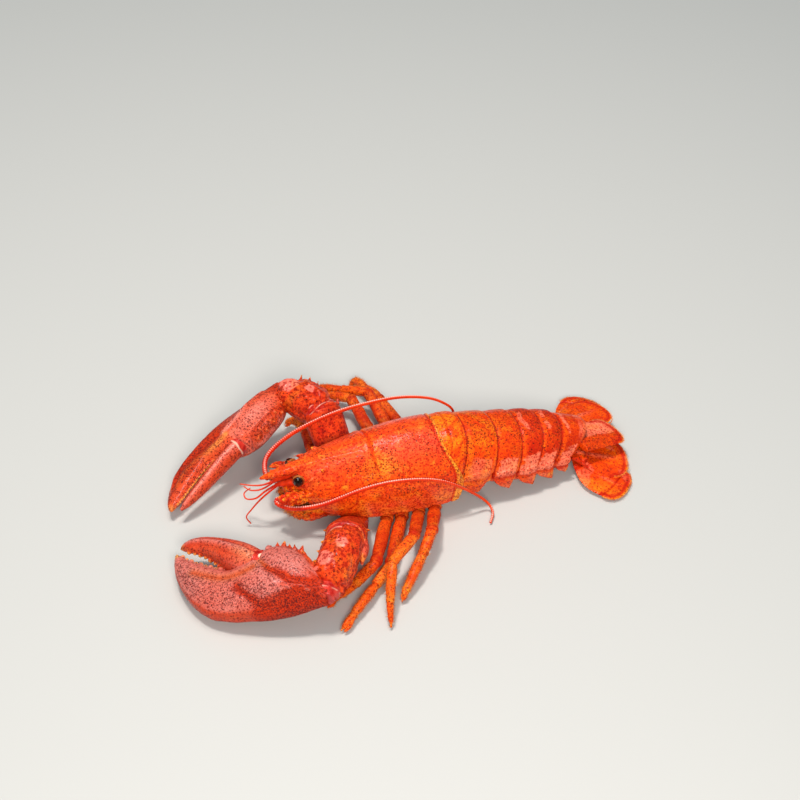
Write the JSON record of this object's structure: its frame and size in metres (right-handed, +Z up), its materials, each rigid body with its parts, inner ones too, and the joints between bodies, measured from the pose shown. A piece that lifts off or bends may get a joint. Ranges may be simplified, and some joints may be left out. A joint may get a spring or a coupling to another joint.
{
  "type": "cooked lobster",
  "caption": "Whole cooked lobster lying flat on its belly, claws forward, legs spread, long feelers swept back and the tail fan open.",
  "frame": {"origin": "on the table, under the middle of the whole animal's outline", "axes": "+Z up off the table, +X towards the tail fan, -X towards the head and claw tips, -Y towards the animal's left side with the crusher claw"},
  "size_m": [0.3024, 0.2406, 0.0531],
  "materials": {
    "body_shell": "satin, finely speckled shell",
    "tail_shell": "satin, finely speckled shell",
    "claw_shell": "glossy, pitted and speckled shell",
    "feeler": "satin",
    "eye": "glossy",
    "underside": "matt"
  },
  "bodies": {
    "root": {"breastplate": "underside", "carapace": "body_shell", "claw_finger_left": "claw_shell", "claw_finger_right": "claw_shell", "claw_left": "claw_shell", "claw_right": "claw_shell", "eye_left": "eye", "eye_right": "eye", "face": "tail_shell", "feeler_base_left": "body_shell", "feeler_base_right": "body_shell", "feeler_left": "feeler", "feeler_right": "feeler", "feelerets_left": "feeler", "feelerets_right": "feeler", "jaw_foot_left": "body_shell", "jaw_foot_right": "body_shell", "leg_left_1": "tail_shell", "leg_left_2": "tail_shell", "leg_left_3": "tail_shell", "leg_left_4": "tail_shell", "leg_right_1": "tail_shell", "leg_right_2": "tail_shell", "leg_right_3": "tail_shell", "leg_right_4": "tail_shell", "tail_ring_1": "tail_shell", "tail_ring_2": "tail_shell", "tail_ring_3": "tail_shell", "tail_ring_4": "tail_shell", "tail_ring_5": "tail_shell", "tail_ring_6": "tail_shell", "telson": "tail_shell", "upper_arm_left": "body_shell", "upper_arm_right": "body_shell", "uropod_left_inner": "tail_shell", "uropod_left_outer": "tail_shell", "uropod_right_inner": "tail_shell", "uropod_right_outer": "tail_shell", "wrist_left": "body_shell", "wrist_right": "body_shell"}
  },
  "joints": []
}
